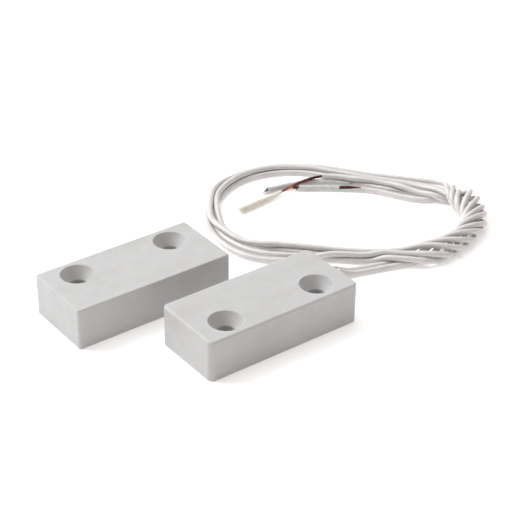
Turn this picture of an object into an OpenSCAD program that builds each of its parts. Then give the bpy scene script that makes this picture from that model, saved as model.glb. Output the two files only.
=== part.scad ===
// Surface-mount magnetic door contact: a reed sensor block with two free wire leads
// and the magnet block that goes on the moving leaf. Millimetres, +Z up.
// Origin: centre of the sensor block's mounting face. +X runs to the wire exit, +Y to the magnet.

/* [Blocks] */
// Length of each block
block_l = 44; // [42:0.5:46]
// Width of each block
block_w = 20; // [19.5:0.5:22]
// Height of each block
block_h = 11; // [11:0.5:13]
// Radius of the sensor block's upright corners
sensor_corner_r = 1.5; // [1:0.25:2]
// Radius of the magnet block's upright corners
magnet_corner_r = 0.7; // [0.5:0.1:1]
// Thickness of the side walls
wall_t = 1.5; // [1.2:0.1:1.6]
// Thickness of the roof
roof_t = 1.8; // [1.6:0.1:2]

/* [Placing] */
// Gap between the two blocks' long sides as installed
gap = 9; // [6:1:12]
// Shift of the magnet block along the sensor block's length
magnet_shift = 17.5; // [15:0.5:20]

/* [Screw holes] */
// Distance between the two screw holes
hole_pitch = 27; // [26:0.5:28]
// Distance of the holes from the block's centre line
hole_offset = 4.2; // [4:0.1:4.4]
// Radius of the through hole
hole_r = 2.2; // [2:0.1:2.4]
// Radius of the countersink at the top face
sink_r = 4.3; // [4.1:0.1:4.4]
// Depth of the countersink
sink_depth = 3; // [2.5:0.1:3.2]
// Outer radius of the tube moulded round each hole
boss_r = 4; // [3.8:0.1:4.1]

/* [Reed switch] */
// Radius of the glass capsule
glass_r = 1.15; // [1.1:0.05:1.3]
// Length of the glass capsule
glass_l = 14; // [13:0.5:15]
// Thickness of the capsule wall
glass_t = 0.3; // [0.25:0.05:0.35]
// Length of the solid seal at each end of the capsule
seal_l = 1.4; // [1.2:0.1:1.6]
// Distance of the reed switch from the sensor block's centre line
reed_offset = 5.4; // [5.2:0.1:5.8]
// Height of the reed switch above the mounting face
reed_z = 5; // [4.6:0.1:5.4]
// Radius of the reed's outer leads
reed_lead_r = 0.3; // [0.25:0.05:0.35]
// Distance from the middle of the capsule to the end of each lead
reed_lead_end = 13.2; // [12.8:0.1:13.6]
// Thickness of a reed blade
blade_t = 0.2; // [0.15:0.05:0.25]
// Width of a reed blade
blade_w = 1; // [0.8:0.1:1.1]
// Length over which the two blades lie over each other
blade_overlap = 0.8; // [0.6:0.1:1]
// Gap between the two contact faces as installed
blade_gap = 0.03; // [0.03:0.01:0.05]

/* [Magnet] */
// Length of the bar magnet
magnet_l = 25; // [22:1:28]
// Width of the bar magnet
magnet_w = 5; // [4:0.5:5]
// Height of the bar magnet
magnet_h = 5; // [4:0.5:6]
// Distance of the bar magnet from the magnet block's centre line
magnet_offset = 5.4; // [5:0.1:5.6]

/* [Wires] */
// Outer diameter of each insulated wire
wire_d = 1.6; // [1.5:0.1:1.7]
// Diameter of the bare conductor
copper_d = 0.8; // [0.6:0.1:0.9]
// Distance between the two wires where they leave the block
wire_pitch = 1.7; // [1.7:0.05:1.8]
// Distance of the wire exit from the sensor block's centre line
exit_y = 1.6; // [1.5:0.1:1.8]
// Height of the wire exit above the mounting face
exit_z = 4.5; // [4.2:0.1:4.8]
// Height of the wound bundle where its strands lie straight
bundle_h = 3.3; // [3.2:0.1:3.6]
// Height of the wound bundle where the wires are wrapped round it
wrap_h = 6.6; // [6.4:0.1:6.8]

/* [Hidden] */

$fn = 64;
eps = 0.01;                 // overlap that keeps a cut clean
play = 0.02;                // room left round a piece that is cast in
tube_sides = 8;             // sides of a swept wire
rib_w = 4;                  // width of the rib from a screw tube to the wall

end_x = block_l / 2;
side_y = block_w / 2;
cavity_h = block_h - roof_t;
cavity_r = 0.6;             // corner radius inside the housings
hole_x = hole_pitch / 2;
magnet_block_y = block_w + gap;

// Reed switch, along X
blade_root = glass_l / 2 - seal_l - 0.1;
blade_tip = blade_overlap / 2;
blade_play = 0.05;          // clear space between a blade's root and its lead
bore_l = glass_l - 2 * seal_l;
solder_r = 1;
solder_l = 2.4;
solder_x = 12;              // centre of each solder joint
solder_y = reed_offset - 0.35;
joint_y = reed_offset - reed_lead_r - copper_d / 2;

// Wire ends inside the block
exit_a_y = exit_y + wire_pitch / 2;
exit_b_y = exit_y - wire_pitch / 2;
inner_a = [[end_x, exit_a_y, exit_z], [19.5, exit_a_y, exit_z], [18, 2.8, 4.6], [16.5, 3.7, 4.8]];
bare_a = [[16.5, 3.7, 4.8], [15, 4.5, 5], [14, joint_y, reed_z], [11.4, joint_y, reed_z]];
inner_b = [
    [end_x, exit_b_y, exit_z], [14, exit_b_y, exit_z], [4, exit_b_y, exit_z],
    [-6, exit_b_y, exit_z], [-8, 1.2, 4.6], [-9.5, 2.3, 4.8]
];
bare_b = [[-9.5, 2.3, 4.8], [-10.6, 3.9, 5], [-11.2, joint_y, reed_z], [-13, joint_y, reed_z]];

// Middle of the two free leads, from the block to the wound bundle
run_mid = [
    [end_x, exit_y, exit_z], [22.8, exit_y, exit_z], [24.1, exit_y, exit_z], [26.2, 3.7, 4.3],
    [28.1, 6.3, 3.6], [30.6, 7.9, 2.4], [33.9, 7, 1], [37, 6, 0.8], [40.2, 5.4, 0.8], [43.5, 5.5, 0.8]
];

// Free ends past the wound bundle
tail_a = [[64.5, 43.2, 2.4], [62.5, 45.6, 2.4], [60.5, 47.6, 2.4], [58.5, 49.2, 2.4]];
copper_a = [[58.5, 49.2, 2.4], [54, 50.4, 2.1], [49.5, 50.8, 1.5], [45, 50.6, 1]];
slug_a = [
    [45, 50.6, 1], [42.7, 50.1, 0.9], [39.8, 49.7, 0.9], [36, 49.3, 0.9], [32.4, 49, 0.9],
    [29.6, 48.8, 0.9]
];
tail_b = [[68, 34.5, 0.8], [66.5, 36.6, 0.8], [64.7, 38.9, 0.8]];
copper_b = [[64.7, 38.9, 0.8], [62.4, 41.2, 0.8], [59.8, 43.8, 0.8]];
slug_b = [
    [59.8, 43.8, 0.8], [57, 46.8, 0.8], [54, 50, 0.8], [50.5, 52.2, 0.8], [46.5, 53.4, 0.8],
    [42, 54, 0.8]
];

// Middle line of the wound bundle, once round against the clock, with its half width
loop_line = [
    [46, 5.5, 3], [57, 0, 3.4], [68, 1, 3.6], [77, 7, 3.6], [80.5, 16, 3.6], [80, 24, 3.8],
    [76, 31, 4], [70, 38.5, 3.6], [65, 46, 3.2], [60, 54, 2.4], [53, 60, 2], [44, 63, 1.8],
    [35, 62, 1.8], [27, 57.5, 1.8], [21, 51, 1.8], [18, 43, 2], [18.5, 35, 2.8], [22, 28, 3.2],
    [29, 21.5, 3], [37.5, 13, 2.6]
];
loop_steps = 3;             // points per stretch of the middle line
wrap_from = 0;              // first stretch that is wrapped
wrap_to = 5;                // last stretch that is wrapped
wrap_inset = 0.2;

// A Catmull-Rom curve through four points
function blend4(a, b, c, d, t) = 0.5 * (2 * b + (c - a) * t + (2 * a - 5 * b + 4 * c - d) * t * t
    + (3 * b - a - 3 * c + d) * t * t * t);
function around(list, i) = list[(i + len(list)) % len(list)];
function closed_curve(list, steps) = [
    for (i = [0:len(list) - 1], k = [0:steps - 1])
        blend4(around(list, i - 1), list[i], around(list, i + 1), around(list, i + 2), k / steps)
];
function unit(v) = v / norm(v);
function flat(p) = [p[0], p[1]];
function heading(list, i) = unit(flat(around(list, i + 1)) - flat(around(list, i - 1)));
function beside(list, i, dist) = flat(list[i]) + dist * [heading(list, i)[1], -heading(list, i)[0]];
function outline(list, grow) = [for (i = [0:len(list) - 1]) beside(list, i, list[i][2] + grow)];
function inline(list, grow) = [for (i = [0:len(list) - 1]) beside(list, i, -list[i][2] - grow)];
function reverse(list) = [for (i = [len(list) - 1:-1:0]) list[i]];
function part_of(list, from, to) = [for (i = [from:to]) list[i]];

// Rings of points along a route
function along(route, i) = unit(route[min(i + 1, len(route) - 1)] - route[max(i - 1, 0)]);
function across(t) = unit(cross(t, [0, 0, 1]));
function ring_point(c, t, r, a) = c + r * (cos(a) * across(t) + sin(a) * cross(across(t), t));
function end_heading(route, i) = (i == 0) ? unit(route[1] - route[0]) : along(route, i);
function left_of(t) = unit([-t[1], t[0], 0]);
function offset_route(route, dist) = [
    for (i = [0:len(route) - 1]) route[i] + dist * left_of(end_heading(route, i))
];
function rings(route, r) = [
    for (i = [0:len(route) - 1], k = [0:tube_sides - 1])
        ring_point(route[i], end_heading(route, i), r, 360 * k / tube_sides)
];
function side_faces(n) = [
    for (i = [0:n - 2], k = [0:tube_sides - 1], half = [0:1])
        let (a = i * tube_sides + k)
        let (b = i * tube_sides + (k + 1) % tube_sides)
        half == 0 ? [a, b, b + tube_sides] : [a, b + tube_sides, a + tube_sides]
];
function cap_faces(n) = [
    [for (k = [tube_sides - 1:-1:0]) k],
    [for (k = [0:tube_sides - 1]) (n - 1) * tube_sides + k]
];

module tube(route, d) {
    polyhedron(points = rings(route, d / 2), faces = concat(side_faces(len(route)), cap_faces(len(route))));
}

module rounded_plate(l, w, r) {
    square([l - 2 * r, w], center = true);
    square([l, w - 2 * r], center = true);
    for (sx = [-1, 1], sy = [-1, 1])
        translate([sx * (l / 2 - r), sy * (w / 2 - r)])
            circle(r);
}

module at_holes(side) {
    for (sx = [-1, 1])
        translate([sx * hole_x, side * hole_offset, 0])
            children();
}

module screw_tubes(side) {
    at_holes(side) {
        cylinder(r = boss_r, h = cavity_h + eps);
        translate([-rib_w / 2, min(0, side * (side_y - hole_offset - wall_t / 2)), 0])
            cube([rib_w, side_y - hole_offset - wall_t / 2, cavity_h + eps]);
    }
}

module screw_holes(side) {
    at_holes(side) {
        translate([0, 0, -1])
            cylinder(r = hole_r, h = block_h + 2);
        translate([0, 0, block_h - sink_depth])
            cylinder(r1 = hole_r, r2 = sink_r, h = sink_depth);
    }
}

module cavity(grow) {
    translate([0, 0, -grow])
        linear_extrude(cavity_h + grow)
            rounded_plate(block_l - 2 * wall_t, block_w - 2 * wall_t, cavity_r);
}

// side says on which side of the centre line the screw holes lie
module housing(corner_r, side) {
    difference() {
        union() {
            difference() {
                linear_extrude(block_h)
                    rounded_plate(block_l, block_w, corner_r);
                cavity(1);
            }
            screw_tubes(side);
        }
        screw_holes(side);
    }
}

module resin(side) {
    difference() {
        linear_extrude(cavity_h)
            rounded_plate(block_l - 2 * wall_t, block_w - 2 * wall_t, cavity_r);
        screw_tubes(side);
    }
}

module along_x(x, y, z) {
    translate([x, y, z])
        rotate([0, 90, 0])
            children();
}

module at_magnet() {
    translate([-magnet_shift, magnet_block_y, 0])
        children();
}

module sensor_housing() {
    color("gainsboro")
        difference() {
            housing(sensor_corner_r, -1);
            for (y = [exit_a_y, exit_b_y])
                along_x(end_x - 2 * wall_t, y, exit_z)
                    cylinder(d = wire_d + 2 * play, h = 3 * wall_t);
        }
}

module sensor_potting() {
    color("dimgray")
        difference() {
            resin(-1);
            along_x(-glass_l / 2 - play, reed_offset, reed_z)
                cylinder(r = glass_r + play, h = glass_l + 2 * play);
            along_x(-reed_lead_end - play, reed_offset, reed_z)
                cylinder(r = reed_lead_r + play, h = 2 * (reed_lead_end + play));
            for (sx = [-1, 1])
                along_x(sx * solder_x - solder_l / 2 - play, solder_y, reed_z)
                    cylinder(r = solder_r + play, h = solder_l + 2 * play);
            tube(inner_a, wire_d + 4 * play);
            tube(inner_b, wire_d + 4 * play);
            tube(bare_a, copper_d + 4 * play);
            tube(bare_b, copper_d + 4 * play);
        }
}

module reed_glass() {
    color("lightcyan", 0.5)
        along_x(0, reed_offset, reed_z)
            difference() {
                union() {
                    cylinder(r = glass_r, h = glass_l - seal_l, center = true);
                    for (m = [0, 1])
                        mirror([0, 0, m])
                            translate([0, 0, glass_l / 2 - seal_l / 2])
                                cylinder(r1 = glass_r, r2 = glass_r / 2, h = seal_l / 2);
                }
                cylinder(r = glass_r - glass_t, h = bore_l, center = true);
                cylinder(r = reed_lead_r, h = glass_l + 2, center = true);
            }
}

// side is 1 at the wire exit and -1 at the far end
module reed_lead(side) {
    color("silver")
        along_x(min(side * (blade_root + blade_play), side * reed_lead_end), reed_offset, reed_z)
            cylinder(r = reed_lead_r, h = reed_lead_end - blade_root - blade_play);
}

module reed_blade(side) {
    from_x = min(-side * blade_tip, side * blade_root);
    from_z = reed_z - blade_t / 2 + side * (blade_t + blade_gap) / 2;
    color("silver")
        translate([from_x, reed_offset - blade_w / 2, from_z])
            cube([blade_root + blade_tip, blade_w, blade_t]);
}

module solder_joint(side, bare) {
    color("darkgray")
        difference() {
            along_x(side * solder_x - solder_l / 2, solder_y, reed_z)
                cylinder(r = solder_r, h = solder_l);
            along_x(-reed_lead_end - 1, reed_offset, reed_z)
                cylinder(r = reed_lead_r, h = 2 * (reed_lead_end + 1));
            tube(bare, copper_d);
        }
}

module reed_lead_near() { reed_lead(1); }
module reed_lead_far() { reed_lead(-1); }
module reed_blade_near() { reed_blade(1); }
module reed_blade_far() { reed_blade(-1); }
module solder_near() { solder_joint(1, bare_a); }
module solder_far() { solder_joint(-1, bare_b); }

module insulation(route) { color("white") tube(route, wire_d); }
module conductor(route) { color("sienna") tube(route, copper_d); }
module inner_insulation_a() { insulation(inner_a); }
module inner_insulation_b() { insulation(inner_b); }
module inner_copper_a() { conductor(bare_a); }
module inner_copper_b() { conductor(bare_b); }
module lead_a_run() { insulation(offset_route(run_mid, wire_pitch / 2)); }
module lead_b_run() { insulation(offset_route(run_mid, -wire_pitch / 2)); }
module lead_a_tail() { insulation(tail_a); }
module lead_b_tail() { insulation(tail_b); }
module bare_copper_a() { conductor(copper_a); }
module bare_copper_b() { conductor(copper_b); }
module insulation_slug_a() { color("ivory") tube(slug_a, wire_d); }
module insulation_slug_b() { color("ivory") tube(slug_b, wire_d); }

module lead_coil() {
    line = closed_curve(loop_line, loop_steps);
    wrapped = part_of(line, wrap_from * loop_steps + 1, wrap_to * loop_steps);
    last = len(wrapped) - 2;
    outer = outline(wrapped, -wrap_inset);
    inner = inline(wrapped, -wrap_inset);
    color("white") {
        linear_extrude(bundle_h)
            difference() {
                polygon(outline(line, 0));
                polygon(inline(line, 0));
            }
        linear_extrude(wrap_h)
            polygon(concat(part_of(outer, 1, last), reverse(part_of(inner, 1, last))));
    }
}

module magnet_housing() {
    color("gainsboro")
        at_magnet()
            housing(magnet_corner_r, 1);
}

module magnet_bar_shape(grow) {
    translate([-magnet_l / 2 - grow, -magnet_offset - magnet_w / 2 - grow, reed_z - magnet_h / 2 - grow])
        cube([magnet_l + 2 * grow, magnet_w + 2 * grow, magnet_h + 2 * grow]);
}

module magnet_potting() {
    color("dimgray")
        at_magnet()
            difference() {
                resin(1);
                magnet_bar_shape(play);
            }
}

module bar_magnet() {
    color("slategray")
        at_magnet()
            magnet_bar_shape(0);
}

sensor_housing();
sensor_potting();
reed_glass();
reed_lead_near();
reed_lead_far();
reed_blade_near();
reed_blade_far();
solder_near();
solder_far();
inner_insulation_a();
inner_insulation_b();
inner_copper_a();
inner_copper_b();
lead_a_run();
lead_b_run();
lead_coil();
lead_a_tail();
lead_b_tail();
bare_copper_a();
bare_copper_b();
insulation_slug_a();
insulation_slug_b();
magnet_housing();
magnet_potting();
bar_magnet();
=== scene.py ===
"""Looks of a door contact sensor: two moulded blocks, and two insulated wires in a twisted loop."""

import math

import bmesh
import bpy
import numpy as np
from mathutils import Matrix, Vector


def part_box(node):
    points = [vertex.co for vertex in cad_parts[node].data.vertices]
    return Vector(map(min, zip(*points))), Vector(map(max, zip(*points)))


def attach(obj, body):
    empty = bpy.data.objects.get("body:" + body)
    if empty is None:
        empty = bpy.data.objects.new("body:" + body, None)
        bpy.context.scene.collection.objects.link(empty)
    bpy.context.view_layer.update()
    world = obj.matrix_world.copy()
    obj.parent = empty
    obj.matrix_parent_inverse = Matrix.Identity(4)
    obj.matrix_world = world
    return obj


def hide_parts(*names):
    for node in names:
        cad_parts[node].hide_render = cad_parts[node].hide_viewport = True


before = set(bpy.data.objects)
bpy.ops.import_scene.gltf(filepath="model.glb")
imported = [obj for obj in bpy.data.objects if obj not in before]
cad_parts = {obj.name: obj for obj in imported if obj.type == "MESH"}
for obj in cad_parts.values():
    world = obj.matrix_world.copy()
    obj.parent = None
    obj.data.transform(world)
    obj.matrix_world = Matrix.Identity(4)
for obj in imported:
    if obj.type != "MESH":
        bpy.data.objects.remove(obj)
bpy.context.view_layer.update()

MM = 0.001

# ---------------------------------------------------------------- the view
CAMERA_PLACE = (-0.1871, -0.2444, 0.2120)
CAMERA_TURN = {"yaw": 37.46, "down": 31.98, "roll": 0.92}  # degrees
CAMERA_LENS = 105.5  # mm, on a film 36 mm wide
FILM_WIDTH = 36
NEAREST_SEEN = 0.01  # metres

# ---------------------------------------------------------------- the wires, in millimetres
WIRE_R = 0.8
WIRE_SPACING = 0.85  # of each lead from the middle line of the two
LEAD_MIDDLE = [
    (22, 1.6, 4.5), (22.8, 1.6, 4.5), (24.1, 1.6, 4.5), (26.2, 3.7, 4.3), (28.1, 6.3, 3.6),
    (30.6, 7.9, 2.4), (33.9, 7, 1), (37, 6, 0.8), (40.2, 5.4, 0.8), (43.5, 5.5, 0.8),
]
# Middle of the loop, once round against the clock. A place on it is told by its stretch number.
LOOP = [
    (46, 5.5), (57, 0), (68, 1), (77, 7), (80.5, 16), (80, 24), (76, 31), (70, 38.5), (65, 46),
    (60, 54), (53, 60), (44, 63), (35, 62), (27, 57.5), (21, 51), (18, 43), (18.5, 35), (22, 28),
    (29, 21.5), (37.5, 13),
]
# Each wire's last insulated stretch
TAILS = {
    "a": [(64.5, 43.2, 2.4), (62.5, 45.6, 2.4), (60.5, 47.6, 2.4), (58.5, 49.2, 2.4)],
    "b": [(68, 34.5, 0.8), (66.5, 36.6, 0.8), (64.7, 38.9, 0.8)],
}
# Wire a: bare copper, and then the cut sleeve on it
COPPER_A = [(58.5, 49.2, 2.4), (54, 50.4, 2.1), (49.5, 50.8, 1.5), (45, 50.6, 1)]
SLEEVE_A = [
    (45, 50.6, 1), (42.7, 50.1, 0.9), (39.8, 49.7, 0.9), (36, 49.3, 0.9), (32.4, 49, 0.9),
    (29.6, 48.8, 0.9),
]
# Wire b's insulation is slit open over the copper, then whole, and its last length lies beside it
SLEEVE_B_SLIT = [(65.6, 37.9, 0.8), (62.4, 40.8, 0.85), (59.8, 42.9, 0.9)]
COPPER_B = [(64.9, 38.6, 0.9), (62.8, 40.6, 1.2), (60.6, 42.4, 1.2), (58.4, 44.0, 0.95)]
SLEEVE_B = [(59.8, 42.9, 0.9), (56, 45.9, 0.9), (53, 48, 0.9), (50.5, 49.9, 0.9)]
COPPER_B_TIP = (49.3, 50.7, 1)  # just past the whole length's end
SLEEVE_B_END = [
    (64.2, 43.3, 0.8), (62.2, 45, 0.8), (59.9, 47.1, 0.85), (56.4, 49.6, 0.9), (53, 51.3, 0.9),
    (50.1, 52.1, 0.9), (46.5, 52.9, 0.9), (42.3, 53.7, 0.9),
]

# The rope of six strands on the loop's right side: where along the loop, and the turns made by there
ROPE_TURNS = [(0, 0), (0.6, 0.06), (1, 0.15), (2.7, 0.85), (4, 1.45), (4.5, 1.62), (7, 1.85)]
# Where along the loop, shift outwards, half width and half height of the ring of strands
ROPE_SHAPE = [
    (0, -0.2, 2.6, 1.6), (0.4, -0.5, 3.5, 2.1), (0.9, -0.7, 4.0, 2.2), (1.5, -0.6, 3.5, 2.3),
    (2, -0.4, 3.2, 2.4), (3, 0.4, 3.7, 2.5), (3.6, 0.7, 4.4, 2.8), (4.2, 1.0, 5.2, 3.2),
    (4.8, 1.6, 5.4, 3.0),
]
# Each strand's angle in the ring where the rope starts, in degrees. A strand is named by its wire
# and by which of the wire's turns round the loop it is.
ROPE_START = {"a1": -90, "b1": -40, "a2": 30, "b2": 80, "a3": 142, "b3": 204}
# Where each strand lies in the plain part: where along the loop, how far outwards, height
PLAIN = {
    "a1": [
        (5.3, -1.5, 0.8), (6, -2.2, 0.8), (6.9, -1.8, 0.8), (8, -1.1, 0.8), (9.5, -0.3, 0.8),
        (11, -0.2, 0.8), (12.2, -0.6, 0.8), (13.7, -1, 0.8), (14.6, -0.6, 0.8),
        (15.65, 0, 0.8), (16.3, 0.6, 0.8), (16.9, 1.2, 0.8), (17.6, 0.6, 0.8), (18.65, 0.85, 0.8),
        (20, 0.5, 0.8),
    ],
    "b1": [
        (5.3, 2.6, 0.8), (6, 3.4, 0.8), (6.9, 3, 0.8), (8, 2.6, 0.8), (8.85, 2, 0.8),
        (9.5, 1.5, 0.8), (11, 1.5, 0.8), (12.2, 1.1, 0.8), (13.7, 0.7, 0.8), (14.6, 1.2, 0.8),
        (15.65, 2.4, 0.8), (16.3, 3.3, 0.8), (16.9, 4.2, 0.8), (17.6, 3.4, 0.8), (18.7, 0.6, 2.4),
        (20, 0.1, 2.4),
    ],
    "a2": [
        (5.3, 5.8, 2.4), (6, 5.4, 1.6), (6.9, 5.0, 0.8), (8, 4.4, 0.8), (8.85, 3.8, 0.8),
        (9.5, 3.3, 0.8), (11, 2.6, 0.9), (12.2, 1.4, 2), (13.7, 0.3, 2.4), (14.6, -0.1, 2.4),
        (15.65, -0.9, 2.4), (16.3, -1.5, 2.4), (16.9, -1.9, 2.4), (17.6, -2, 2.4),
        (18.65, -1.4, 2.4), (20, -1.5, 2.4),
    ],
    "b2": [
        (5.3, 0.3, 2.4), (6, 1.1, 2.4), (6.9, 1.7, 2.4), (8, 1.4, 2.4), (9.5, 0.8, 2.3),
        (11, 0.6, 2.2), (12.2, -0.1, 2.3), (13.7, -1.3, 2.2), (14.6, -2, 1.5),
        (15.65, -2.4, 0.8), (16.3, -2.6, 0.8), (16.9, -2.2, 0.8), (17.6, -1.6, 0.8),
        (18.65, -1.3, 0.8), (20, -1.3, 0.8),
    ],
    "a3": [(5.3, -3.4, 1.8), (6, -2.5, 2.3), (6.9, -0.9, 2.4), (8, -1.8, 2.4)],
    "b3": [(5.3, -5.6, 0.8), (6, -5.2, 0.8), (6.9, -4.6, 0.8)],
}
ROPE_IN = 0.6  # the strands are in the rope's ring from here
ROPE_OUT = (4.0, 5.1)  # and leave it between these two places
LEAD_JOINS = 0.5  # where the leads come into the rope
LAST_PASS_ENDS = {"a": 7.35, "b": 6.3}  # where the tails begin
POINTS_PER_STRETCH = 6  # of the loop, when a wire is laid
SETTLE_STEP = 1.2  # between a wire's points, when it settles


# ---------------------------------------------------------------- lines
def smooth_step(x):
    x = min(max(x, 0), 1)
    return x * x * (3 - 2 * x)


def keyed(keys, at, eased=True):
    """The values at a place in a table whose rows start with their place."""
    for low, high in zip(keys, keys[1:]):
        if at <= high[0]:
            t = min(max((at - low[0]) / (high[0] - low[0]), 0), 1)
            t = smooth_step(t) if eased else t
            return [x + (y - x) * t for x, y in zip(low[1:], high[1:])]
    return list(keys[-1][1:])


def blend4(a, b, c, d, t):
    """Catmull-Rom, from b at t = 0 to c at t = 1."""
    square = (2 * a - 5 * b + 4 * c - d) * t**2
    cube = (3 * b - a - 3 * c + d) * t**3
    return 0.5 * (2 * b + (c - a) * t + square + cube)


def through(points, per=6):
    """A smooth line through the points."""
    p = np.array(points, float)
    p = np.vstack([2 * p[0] - p[1], p, 2 * p[-1] - p[-2]])
    line = [
        blend4(*p[i - 1 : i + 3], k / per) for i in range(1, len(p) - 2) for k in range(per)
    ]
    return np.array(line + [p[-2]])


def even(line, step):
    """The line with its points about step apart."""
    gone = np.r_[0, np.cumsum(np.linalg.norm(np.diff(line, axis=0), axis=1))]
    at = np.linspace(0, gone[-1], int(round(gone[-1] / step)) + 1)
    return np.stack([np.interp(at, gone, line[:, k]) for k in range(3)], axis=1)


def loop_place(at, out, height):
    """A point beside the loop's middle line."""
    i = math.floor(at)
    a, b, c, d = (np.array(LOOP[(i + k) % len(LOOP)], float) for k in (-1, 0, 1, 2))
    here = blend4(a, b, c, d, at - i)
    nudge = 0.01
    ahead = blend4(a, b, c, d, at - i + nudge) - blend4(a, b, c, d, at - i - nudge)
    ahead /= np.linalg.norm(ahead)
    return np.array([here[0] + out * ahead[1], here[1] - out * ahead[0], height])


def in_rope(strand, at):
    """How far outwards and how high a strand lies in the rope's ring."""
    shift, wide, high = keyed(ROPE_SHAPE, at)
    angle = math.radians(ROPE_START[strand] - 360 * keyed(ROPE_TURNS, at, eased=False)[0])
    return shift + wide * math.cos(angle), WIRE_R + high + high * math.sin(angle)


def strand_place(wire, turn, at):
    """Where a wire lies on one of its turns round the loop."""
    strand = f"{wire}{turn}"
    share = smooth_step((at - ROPE_OUT[0]) / (ROPE_OUT[1] - ROPE_OUT[0]))
    rope = in_rope(strand, at)
    plain = keyed(PLAIN[strand], at)
    out, height = (r + (p - r) * share for r, p in zip(rope, plain))
    if turn > 1 and at < ROPE_IN:
        before = keyed(PLAIN[f"{wire}{turn - 1}"], len(LOOP))
        share = smooth_step(at / ROPE_IN)
        out, height = (b + (r - b) * share for b, r in zip(before, rope))
    return loop_place(at, out, height)


def lead_points(wire):
    """The stretch from the block to the loop, beside the middle line of the two leads."""
    middle = np.array(LEAD_MIDDLE, float)
    side = WIRE_SPACING if wire == "a" else -WIRE_SPACING
    points = []
    for i, here in enumerate(middle):
        ahead = middle[min(i + 1, len(middle) - 1)] - middle[max(i - 1, 0)]
        left = np.array([-ahead[1], ahead[0], 0])
        points.append(here + side * left / np.linalg.norm(left))
    return points


def laid_wire(wire):
    """Twice round the loop, a third time through the rope, and out to the tail."""
    points = lead_points(wire)
    for turn in (1, 2, 3):
        start = LEAD_JOINS if turn == 1 else 0
        end = LAST_PASS_ENDS[wire] if turn == 3 else len(LOOP)
        count = round((end - start) * POINTS_PER_STRETCH)
        stops = count + 1 if turn == 3 else count
        points += [strand_place(wire, turn, start + (end - start) * k / count) for k in range(stops)]
    points += [np.array(p, float) for p in TAILS[wire]]
    return even(through(points), SETTLE_STEP)


# ---------------------------------------------------------------- settling the wires on each other
SETTLE_GAP = 1.72  # least distance between two strands' points
SETTLE_REACH = 1.2  # pairs are listed when this much further apart
SETTLE_ROUNDS = 300
LISTED_EVERY = 10  # rounds
HELD_POINTS = 10  # at each end of a wire
NEAR_ALONG = 4  # points of one wire this near along it don't push each other
# What each round takes away or adds
PUSH = 0.3  # share of an overlap
STRAIGHTEN = 0.03  # share of a bend
STIFF = 0.2  # share of the bend of a bend
SPRING_BACK = 0.002  # share of the way home
SINK = 0.004  # mm


def close_pairs(p, wire, order):
    """Pairs of points that may come to touch."""
    far = np.linalg.norm(p[:, None] - p[None], axis=2)
    apart = (wire[:, None] != wire[None]) | (abs(order[:, None] - order[None]) > NEAR_ALONG)
    return np.where(np.triu((far < SETTLE_GAP + SETTLE_REACH) & apart, 1))


def push_apart(p, first, second):
    """Part of each overlap, for both of its points."""
    way = p[first] - p[second]
    far = np.linalg.norm(way, axis=1) + 1e-9  # never 0
    over = np.clip(SETTLE_GAP - far, 0, None)
    step = way / far[:, None] * (PUSH * over)[:, None]
    move = np.zeros_like(p)
    count = np.zeros(len(p))
    for side, sign in ((first, 1), (second, -1)):
        np.add.at(move, side, sign * step)
        np.add.at(count, side, over > 0)
    return move / np.maximum(count / 2, 1)[:, None]


def settle(lines):
    """Strands come to lie a diameter apart on the floor and on each other, without kinks."""
    p = np.vstack(lines)
    counts = [len(line) for line in lines]
    wire = np.repeat(range(len(lines)), counts)
    order = np.concatenate([np.arange(n) for n in counts])
    left = np.concatenate([np.arange(n)[::-1] for n in counts])
    held = np.minimum(order, left) < HELD_POINTS
    inner = np.where(np.minimum(order, left) > 0)[0]
    home = p.copy()
    for k in range(SETTLE_ROUNDS):
        if k % LISTED_EVERY == 0:
            first, second = close_pairs(p, wire, order)
        move = push_apart(p, first, second)
        bend = np.zeros_like(p)
        stiff = np.zeros_like(p)
        bend[inner] = (p[inner - 1] + p[inner + 1]) / 2 - p[inner]
        stiff[inner] = (bend[inner - 1] + bend[inner + 1]) / 2 - bend[inner]
        move += STRAIGHTEN * bend - STIFF * stiff + SPRING_BACK * (home - p)
        move[:, 2] -= SINK
        move[held] = 0
        p = p + move
        p[:, 2] = np.maximum(p[:, 2], WIRE_R)
    return np.split(p, np.cumsum(counts)[:-1])


# ---------------------------------------------------------------- materials
def new_material(name):
    material = bpy.data.materials.new(name)
    material.use_nodes = True
    return material, material.node_tree, material.node_tree.nodes["Principled BSDF"]


def noise(tree, scale, detail=3.0, rough=0.55, stretch=(1, 1, 1)):
    """A noise pattern in the part's own frame; scale is in waves per metre."""
    coords = tree.nodes.new("ShaderNodeTexCoord")
    mapping = tree.nodes.new("ShaderNodeMapping")
    mapping.inputs["Scale"].default_value = stretch
    pattern = tree.nodes.new("ShaderNodeTexNoise")
    pattern.inputs["Scale"].default_value = scale
    pattern.inputs["Detail"].default_value = detail
    pattern.inputs["Roughness"].default_value = rough
    tree.links.new(coords.outputs["Object"], mapping.inputs["Vector"])
    tree.links.new(mapping.outputs["Vector"], pattern.inputs["Vector"])
    return pattern.outputs["Fac"]


def ramp(tree, value, stops):
    """Colours at stops along the value."""
    node = tree.nodes.new("ShaderNodeValToRGB")
    elements = node.color_ramp.elements
    while len(elements) < len(stops):
        elements.new(0.5)
    for element, (at, colour) in zip(elements, stops):
        element.position = at
        element.color = (*colour, 1)
    tree.links.new(value, node.inputs["Fac"])
    return node.outputs["Color"]


def spread(tree, value, low, high):
    """The noise's middle range, taken to low..high."""
    node = tree.nodes.new("ShaderNodeMapRange")
    node.inputs["From Min"].default_value = 0.3
    node.inputs["From Max"].default_value = 0.7
    node.inputs["To Min"].default_value = low
    node.inputs["To Max"].default_value = high
    tree.links.new(value, node.inputs["Value"])
    return node.outputs["Result"]


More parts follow.
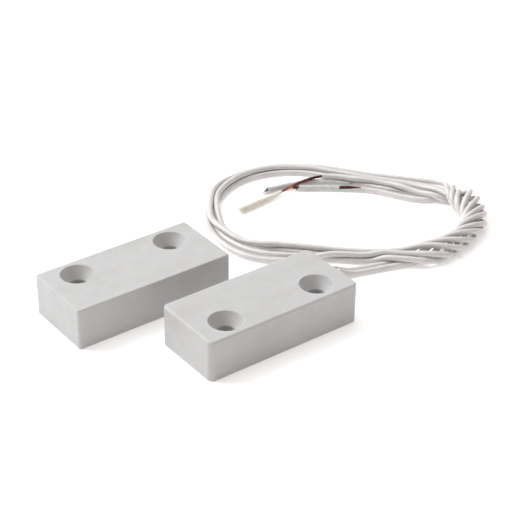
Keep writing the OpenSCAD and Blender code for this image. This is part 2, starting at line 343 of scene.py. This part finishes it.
def multiply(tree, colour, shade):
    node = tree.nodes.new("ShaderNodeMix")
    node.data_type = "RGBA"
    node.blend_type = "MULTIPLY"
    node.inputs["Factor"].default_value = 1.0
    tree.links.new(colour, node.inputs["A"])
    tree.links.new(shade, node.inputs["B"])
    return node.outputs["Result"]


def add_bump(tree, shader, layers):
    """Bumps of (height pattern, depth in metres, strength), one on top of another."""
    below = None
    for pattern, depth, strength in layers:
        node = tree.nodes.new("ShaderNodeBump")
        node.inputs["Distance"].default_value = depth
        node.inputs["Strength"].default_value = strength
        tree.links.new(pattern, node.inputs["Height"])
        if below:
            tree.links.new(below, node.inputs["Normal"])
        below = node.outputs["Normal"]
    tree.links.new(below, shader.inputs["Normal"])


WEAR_FINER = 3.1  # the roughness pattern is this much finer than the colour's


def patterned(name, stops, scale, rough, bumps, stretch=(1, 1, 1), speck=None, metal=0.0):
    """A material whose colour, roughness and relief follow noise."""
    material, tree, shader = new_material(name)
    colour = ramp(tree, noise(tree, scale, stretch=stretch), stops)
    if speck:
        speck_scale, speck_shade = speck
        grain = noise(tree, speck_scale, detail=2.0)
        shade = ramp(tree, grain, [(0.35, (speck_shade,) * 3), (0.6, (1, 1, 1))])
        colour = multiply(tree, colour, shade)
    tree.links.new(colour, shader.inputs["Base Color"])
    wear = noise(tree, scale * WEAR_FINER, stretch=stretch)
    tree.links.new(spread(tree, wear, *rough), shader.inputs["Roughness"])
    shader.inputs["Metallic"].default_value = metal
    layers = []
    for relief_scale, depth, strength in bumps:
        relief = noise(tree, relief_scale, detail=2.0, stretch=stretch)
        layers.append((relief, depth, strength))
    add_bump(tree, shader, layers)
    return material, shader


def tint_base(tree, shader, tint):
    base = shader.inputs["Base Color"]
    tree.links.new(multiply(tree, base.links[0].from_socket, tint), base)


def see_into(shader, weight, depth):
    """Light passes a little way under the surface, and red light the furthest; depth in millimetres."""
    shader.inputs["Subsurface Weight"].default_value = weight
    shader.inputs["Subsurface Radius"].default_value = (1.0, 0.75, 0.55)
    shader.inputs["Subsurface Scale"].default_value = depth * MM


def housing_material():
    """White plastic, faintly marbled along the block."""
    material, shader = patterned(
        "moulded_housing",
        [(0.3, (0.437, 0.431, 0.428)), (0.5, (0.453, 0.448, 0.447)), (0.7, (0.468, 0.463, 0.462))],
        scale=260, rough=(0.44, 0.6), bumps=[(700, 0.00012, 0.25), (5200, 0.00003, 0.5)],
        speck=(3600, 0.97),
    )
    tree = material.node_tree
    flow = noise(tree, 90, detail=5.0, stretch=(0.5, 1.6, 1))
    marbling = [(0.35, (0.965, 0.958, 0.948)), (0.5, (1, 1, 1)), (0.7, (1.015, 1.015, 1.02))]
    tint_base(tree, shader, ramp(tree, flow, marbling))
    shader.inputs["Specular IOR Level"].default_value = 0.4
    see_into(shader, 0.3, 1.2)
    return material


def wire_material():
    """White insulation with a soft sheen."""
    material, shader = patterned(
        "wire_insulation",
        [(0.3, (0.535, 0.51, 0.505)), (0.55, (0.58, 0.555, 0.552)), (0.75, (0.615, 0.595, 0.594))],
        scale=260, rough=(0.28, 0.42), bumps=[(900, 0.00008, 0.3), (6000, 0.00001, 0.4)],
    )
    shader.inputs["Coat Weight"].default_value = 0.25
    shader.inputs["Coat Roughness"].default_value = 0.3
    see_into(shader, 0.3, 0.6)
    return material


def along_x(tree, start, end):
    """0 to 1 between two places along X, in millimetres."""
    coords = tree.nodes.new("ShaderNodeTexCoord")
    split = tree.nodes.new("ShaderNodeSeparateXYZ")
    node = tree.nodes.new("ShaderNodeMapRange")
    node.inputs["From Min"].default_value = start * MM
    node.inputs["From Max"].default_value = end * MM
    tree.links.new(coords.outputs["Object"], split.inputs["Vector"])
    tree.links.new(split.outputs["X"], node.inputs["Value"])
    return node.outputs["Result"]


def tint_along(material, start, end, near, far):
    """The base colour is multiplied by one tint at the start and another at the end."""
    tree = material.node_tree
    tint = ramp(tree, along_x(tree, start, end), [(0, near), (1, far)])
    tint_base(tree, tree.nodes["Principled BSDF"], tint)


def copper_material(name, light=1.0):
    """Darkened copper; light multiplies its colours."""
    stops = [(0.3, (0.09, 0.03, 0.026)), (0.5, (0.17, 0.06, 0.047)), (0.7, (0.30, 0.12, 0.085))]
    material, _ = patterned(
        name, [(at, [c * light for c in colour]) for at, colour in stops],
        scale=900, rough=(0.35, 0.6), bumps=[(5000, 0.00002, 0.5)], metal=0.6,
    )
    return material


def bright_copper_material():
    """Dark by the insulation, and redder towards the sleeve."""
    material = copper_material("copper_of_wire_a")
    tint_along(material, 56, 46, (0.5, 0.5, 0.55), (2.2, 2.0, 1.9))
    return material


def sleeve_material(name, tint):
    """Dull, slightly blotched insulation."""
    light = [c * 1.08 for c in tint]
    dark = [c * 0.87 for c in tint]
    material, _ = patterned(
        name, [(0.3, dark), (0.5, tint), (0.7, light)],
        scale=700, rough=(0.45, 0.65), bumps=[(1500, 0.00008, 0.4), (7000, 0.00001, 0.4)],
    )
    return material


def grey_sleeve_material():
    """A little paler towards the insulation it was cut from."""
    material = sleeve_material("grey_sleeve", (0.42, 0.425, 0.41))
    tint_along(material, 44, 65, (1.05, 1.02, 1.02), (1.2, 1.18, 1.17))
    return material


def ivory_sleeve_material():
    """White at the neck, ivory past it."""
    material = sleeve_material("ivory_sleeve", (0.69, 0.645, 0.60))
    tint_along(material, 44, 39, (1.0, 1.0, 1.02), (0.88, 0.88, 0.82))
    return material


def resin_material():
    """Nearly black, and a little glossy."""
    material, _ = patterned(
        "cast_resin",
        [(0.3, (0.018, 0.018, 0.02)), (0.6, (0.026, 0.026, 0.028)), (0.8, (0.04, 0.04, 0.043))],
        scale=300, rough=(0.3, 0.5), bumps=[(250, 0.0003, 0.3), (3000, 0.00003, 0.3)],
    )
    return material


def metal_material(name, tint, rough):
    """Bright metal with a faint grain along X."""
    material, _ = patterned(
        name, [(0.3, [c * 0.8 for c in tint]), (0.6, tint)],
        scale=1500, rough=rough, bumps=[(8000, 0.00001, 0.4)], stretch=(0.15, 1, 1), metal=1.0,
    )
    return material


def ferrite_material():
    material, _ = patterned(
        "ferrite",
        [(0.3, (0.012, 0.012, 0.013)), (0.6, (0.02, 0.02, 0.021)), (0.8, (0.04, 0.038, 0.038))],
        scale=1800, rough=(0.5, 0.75), bumps=[(2500, 0.00005, 0.6)], metal=0.2,
    )
    return material


def glass_material():
    material, shader = patterned(
        "reed_glass", [(0.3, (0.80, 0.92, 0.88)), (0.7, (0.9, 0.97, 0.94))],
        scale=400, rough=(0.02, 0.08), bumps=[(900, 0.00003, 0.2)],
    )
    shader.inputs["Transmission Weight"].default_value = 0.9
    shader.inputs["IOR"].default_value = 1.48
    return material


# ---------------------------------------------------------------- making pieces
def place(piece, material, body):
    """Put a piece in the scene, on its body, with its finish."""
    bpy.context.scene.collection.objects.link(piece)
    if material.name not in [m.name for m in piece.data.materials if m]:
        piece.data.materials.append(material)
    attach(piece, body)
    return piece


def wire_curve(name, line, radius):
    """A round tube along a line in millimetres."""
    curve = bpy.data.curves.new(name, "CURVE")
    curve.dimensions = "3D"
    spline = curve.splines.new("POLY")
    spline.points.add(len(line) - 1)
    spline.points.foreach_set("co", np.c_[line * MM, np.ones(len(line))].ravel())
    spline.use_smooth = True
    curve.bevel_depth = radius * MM
    curve.bevel_resolution = 6
    curve.use_fill_caps = True
    return bpy.data.objects.new(name, curve)


def frames(line):
    """At each point of a line, two directions square to it that turn as little as they can."""
    ahead = np.gradient(line, axis=0)
    ahead /= np.linalg.norm(ahead, axis=1)[:, None]
    side = np.cross(ahead[0], (0, 0, 1))
    sides = []
    for t in ahead:
        side = side - (side @ t) * t
        side = side / np.linalg.norm(side)
        sides.append(side)
    sides = np.array(sides)
    return ahead, sides, np.cross(sides, ahead)


def sweep(bm, line, radius, sides):
    """A tube of faces along a line, open at its ends."""
    _, side, up = frames(line)
    angles = np.arange(sides) * 2 * math.pi / sides
    rings = []
    for k, here in enumerate(line):
        ring = here + radius * (np.outer(np.cos(angles), side[k]) + np.outer(np.sin(angles), up[k]))
        rings.append([bm.verts.new(tuple(p * MM)) for p in ring])
    for ring, after in zip(rings, rings[1:]):
        for j in range(sides):
            n = (j + 1) % sides
            bm.faces.new((ring[j], ring[n], after[n], after[j]))
    return rings


def mesh_piece(name, bm, crease=None):
    """Edges sharper than the crease angle stay sharp."""
    mesh = bpy.data.meshes.new(name)
    bmesh.ops.recalc_face_normals(bm, faces=bm.faces)
    for face in bm.faces:
        face.smooth = True
    if crease:
        for edge in bm.edges:
            edge.smooth = edge.calc_face_angle(0) < math.radians(crease)
    bm.to_mesh(mesh)
    bm.free()
    return bpy.data.objects.new(name, mesh)


STRAND_R = 0.13
STRAND_LAY = 7.0  # length of one turn of the conductor's strands
STRAND_STEP = 0.25  # between a strand's rings
STRAND_SIDES = 8
OUTER_STRANDS = 6


def conductor(name, lines):
    """Seven fine strands along each line, six of them laid round the seventh."""
    bm = bmesh.new()
    for line in lines:
        line = even(line, STRAND_STEP)
        lay = 2 * math.pi * np.arange(len(line)) * STRAND_STEP / STRAND_LAY
        _, side, up = frames(line)
        for k in range(OUTER_STRANDS + 1):
            angle = math.radians(360 / OUTER_STRANDS) * k - lay
            off = 0 if k == OUTER_STRANDS else 2 * STRAND_R
            strand = line + off * (np.cos(angle)[:, None] * side + np.sin(angle)[:, None] * up)
            rings = sweep(bm, strand, STRAND_R, STRAND_SIDES)
            for ring in (rings[0][::-1], rings[-1]):
                bm.faces.new(ring)
    return mesh_piece(name, bm)


TUBE_SIDES = 24
TUBE_STEP = 0.3  # between a cut sleeve's rings
TUBE_CREASE = 40  # degrees


def hollow(bm, line, outer, bore, slit=None, slant=0.0):
    """A tube along a line with its radii keyed by share of its length, and open on top over a slit.

    The slit is keyed by its half angle. A slant above or below 0 cuts the far end aslant.
    """
    ahead, side, up = frames(line)
    count = TUBE_SIDES + (1 if slit else 0)
    walls = []
    for k, here in enumerate(line):
        share = k / (len(line) - 1)
        half = keyed(slit, share)[0] if slit else 0
        turn = np.radians(90 + np.linspace(half, 360 - half, TUBE_SIDES + 1))[:count]
        ring = np.outer(np.cos(turn), side[k]) + np.outer(np.sin(turn), up[k])
        if k == len(line) - 1:
            ring += slant * np.outer(np.sin(turn), ahead[k])
        radii = (keyed(outer, share)[0], keyed(bore, share)[0])
        walls.append([[bm.verts.new(tuple((here + r * q) * MM)) for q in ring] for r in radii])
    spans = [(j, (j + 1) % count) for j in range(TUBE_SIDES)]
    for (skin, lining), (next_skin, next_lining) in zip(walls, walls[1:]):
        for j, n in spans:
            bm.faces.new((skin[j], skin[n], next_skin[n], next_skin[j]))
            bm.faces.new((lining[n], lining[j], next_lining[j], next_lining[n]))
        if slit:
            for j in (0, TUBE_SIDES):
                bm.faces.new((skin[j], next_skin[j], next_lining[j], lining[j]))
    for skin, lining in (walls[0], walls[-1]):
        for j, n in spans:
            bm.faces.new((skin[j], lining[j], lining[n], skin[n]))


def on_floor(points, outer):
    """A line through the points, lifted so that a tube of that radius lies on the floor."""
    line = even(through(points, per=8), TUBE_STEP)
    radius = [keyed(outer, k / (len(line) - 1))[0] for k in range(len(line))]
    line[:, 2] = np.maximum(line[:, 2], radius)
    return line


def sleeve_a():
    """A thin neck by the copper and a thick end, cut off aslant."""
    bm = bmesh.new()
    outer = [(0, 0.6), (0.15, 0.66), (0.4, 0.86), (0.6, 0.93), (0.97, 0.95), (1, 0.9)]
    hollow(bm, on_floor(SLEEVE_A, outer), outer, [(0, 0.42), (0.3, 0.42), (0.8, 0.12)], slant=0.4)
    return mesh_piece("cut_sleeve_a", bm, crease=TUBE_CREASE)


def sleeve_b():
    """A slit length over the copper, a whole length, and the last length beside them."""
    bm = bmesh.new()
    outer = [(0, 0.82), (1, 0.84)]
    bore = [(0, 0.5), (1, 0.5)]
    slit = [(0, 8), (0.4, 50), (0.8, 84), (1, 90)]
    hollow(bm, on_floor(SLEEVE_B_SLIT, outer), outer, bore, slit=slit)
    hollow(bm, on_floor(SLEEVE_B, outer), outer, bore, slant=-0.6)
    hollow(bm, on_floor(SLEEVE_B_END, outer), outer, bore, slant=-1.5)
    return mesh_piece("cut_sleeve_b", bm, crease=TUBE_CREASE)


# ---------------------------------------------------------------- the housings
WELD = 1e-6  # metres; points nearer than this become one
LEVEL = 1e-5  # metres; how far from a height an edge still counts as at it
OUTLINE_INSET = 0.45  # mm; an edge this near the block's box is on its outline
FLAT_ANGLE = 0.5  # degrees; faces that meet flatter become one
RIM_ANGLE = 25  # degrees; faces that meet at more than this have a rim
SHARP_ANGLE = 32  # degrees; edges above this stay sharp
BASE_R = 0.2  # mm


def is_rim(edge, height):
    """An edge at a height where two faces meet at an angle."""
    level = all(abs(v.co.z - height) < LEVEL for v in edge.verts)
    return level and len(edge.link_faces) == 2 and edge.calc_face_angle(0) > math.radians(RIM_ANGLE)


def outer_edge(edge, low, high):
    """An edge on the block's outline."""
    middle = (edge.verts[0].co + edge.verts[1].co) / 2
    inset = min(middle.x - low[0], high[0] - middle.x, middle.y - low[1], high[1] - middle.y)
    return inset < OUTLINE_INSET * MM


def rounded_housing(node, name, top_r, rim_r):
    """The CAD housing with its top edges, hole rims and base edges rounded."""
    low, high = (Vector(corner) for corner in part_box(node))
    bm = bmesh.new()
    bm.from_mesh(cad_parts[node].data)
    bmesh.ops.remove_doubles(bm, verts=bm.verts, dist=WELD)
    bmesh.ops.dissolve_limit(
        bm, angle_limit=math.radians(FLAT_ANGLE), verts=bm.verts, edges=bm.edges,
    )
    top = [e for e in bm.edges if is_rim(e, high[2])]
    outline = [e for e in top if outer_edge(e, low, high)]
    holes = [e for e in top if not outer_edge(e, low, high)]
    bottom = [e for e in bm.edges if is_rim(e, low[2]) and outer_edge(e, low, high)]
    for edges, size, segments in ((outline, top_r, 5), (holes, rim_r, 4), (bottom, BASE_R, 2)):
        bmesh.ops.bevel(
            bm, geom=[e for e in edges if e.is_valid], offset=size * MM, segments=segments,
            profile=0.5, affect="EDGES", clamp_overlap=True,
        )
    for edge in bm.edges:
        edge.smooth = edge.calc_face_angle(0) < math.radians(SHARP_ANGLE)
    piece = mesh_piece(name, bm)
    even_light = piece.modifiers.new("even_light", "WEIGHTED_NORMAL")
    even_light.keep_sharp = True
    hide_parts(node)
    return piece


# ---------------------------------------------------------------- the scene
def add_camera():
    data = bpy.data.cameras.new("view")
    data.lens = CAMERA_LENS
    data.sensor_width = FILM_WIDTH
    data.clip_start = NEAREST_SEEN
    camera = bpy.data.objects.new("view", data)
    yaw, down, roll = (math.radians(CAMERA_TURN[k]) for k in ("yaw", "down", "roll"))
    level = Matrix.Rotation(-yaw, 4, "Z") @ Matrix.Rotation(math.pi / 2 - down, 4, "X")
    turn = level @ Matrix.Rotation(roll, 4, "Z")
    camera.matrix_world = Matrix.Translation(CAMERA_PLACE) @ turn
    bpy.context.scene.collection.objects.link(camera)
    bpy.context.scene.camera = camera


FLOOR_SIZE = 6  # metres
FLOOR_GLOW = 0.3


def add_floor():
    """White, with a slight glow that keeps the shadows faint."""
    material, tree, shader = new_material("floor_white")
    colour = ramp(tree, noise(tree, 6), [(0.3, (0.93, 0.93, 0.93)), (0.7, (0.95, 0.95, 0.95))])
    tree.links.new(colour, shader.inputs["Base Color"])
    shader.inputs["Roughness"].default_value = 0.9
    shader.inputs["Specular IOR Level"].default_value = 0.1
    tree.links.new(colour, shader.inputs["Emission Color"])
    shader.inputs["Emission Strength"].default_value = FLOOR_GLOW
    bpy.ops.mesh.primitive_plane_add(size=FLOOR_SIZE, location=(0, 0, 0))
    floor = bpy.context.object
    floor.name = "floor"
    floor.data.materials.append(material)


SKY_TINT = (1, 0.96, 0.92)
SKY_STRENGTH = 0.51
LAMP_TINT = (0.96, 0.985, 1)
# In metres and watts
LAMPS = {
    "overhead": {"at": (0.10, 0.30, 1.0), "aim": (0.02, 0.02, 0), "size": 0.9, "power": 5},
    "behind": {"at": (-0.40, 0.66, 0.80), "aim": (0, 0.02, 0), "size": 0.6, "power": 11.5},
}


def add_lamp(name, at, aim, size, power):
    data = bpy.data.lights.new(name, "AREA")
    data.size = size
    data.energy = power
    data.color = LAMP_TINT
    lamp = bpy.data.objects.new(name, data)
    lamp.location = at
    lamp.rotation_euler = (Vector(aim) - Vector(at)).to_track_quat("-Z", "Y").to_euler()
    bpy.context.scene.collection.objects.link(lamp)


def add_light():
    world = bpy.data.worlds.new("studio")
    world.use_nodes = True
    sky = world.node_tree.nodes["Background"]
    sky.inputs["Color"].default_value = (*SKY_TINT, 1)
    sky.inputs["Strength"].default_value = SKY_STRENGTH
    bpy.context.scene.world = world
    for name, lamp in LAMPS.items():
        add_lamp(name, **lamp)
    bpy.context.scene.view_settings.view_transform = "Standard"


def conductor_lines(wire):
    """Bare copper, and the copper inside the cut sleeves."""
    if wire == "a":
        return [through(COPPER_A + SLEEVE_A[1:4], per=8)]
    slit_part = through(COPPER_B + SLEEVE_B[1:] + [COPPER_B_TIP], per=8)
    return [slit_part, through(SLEEVE_B_END, per=8)]


def add_cords(material, coppers, sleeves):
    lines = dict(zip("ab", settle([laid_wire(w) for w in "ab"])))
    tubes = {"a": sleeve_a, "b": sleeve_b}
    for w, line in lines.items():
        wire = wire_curve(f"wire_{w}", through(line, per=2), WIRE_R)
        wire = place(wire, material, "sensor")
        strands = conductor(f"conductor_{w}", conductor_lines(w))
        strands = place(strands, coppers[w], "sensor")
        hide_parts(f"bare_copper_{w}")
        tube = place(tubes[w](), sleeves[w], "sensor")
        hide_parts(f"insulation_slug_{w}")
        solids = [f"lead_{w}_run", f"lead_{w}_tail"] + (["lead_coil"] if w == "a" else [])
        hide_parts(*solids)


def finish_cad_node(name, material):
    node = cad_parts[name]
    node.data.materials.clear()
    node.data.materials.append(material)


add_camera()
add_floor()
add_light()
housing = housing_material()
wire_white = wire_material()
copper = copper_material("darkened_copper", light=0.6)
sleeves = {"a": ivory_sleeve_material(), "b": grey_sleeve_material()}
add_cords(wire_white, {"a": bright_copper_material(), "b": copper}, sleeves)
sensor_case = rounded_housing("sensor_housing", "sensor_case", top_r=0.6, rim_r=0.6)
place(sensor_case, housing, "sensor")
magnet_case = rounded_housing("magnet_housing", "magnet_case", top_r=0.4, rim_r=0.6)
place(magnet_case, housing, "magnet")
resin = resin_material()
glass = glass_material()
ferrite = ferrite_material()
reed_metal = metal_material("reed_metal", (0.5, 0.49, 0.45), (0.25, 0.4))
solder = metal_material("solder", (0.42, 0.43, 0.45), (0.2, 0.45))
for names, finish in (
    (("sensor_potting", "magnet_potting"), resin),
    (("reed_glass",), glass),
    (("reed_lead_near", "reed_lead_far", "reed_blade_near", "reed_blade_far"), reed_metal),
    (("solder_near", "solder_far"), solder),
    (("inner_insulation_a", "inner_insulation_b"), wire_white),
    (("inner_copper_a", "inner_copper_b"), copper),
    (("bar_magnet",), ferrite),
):
    for name in names:
        finish_cad_node(name, finish)
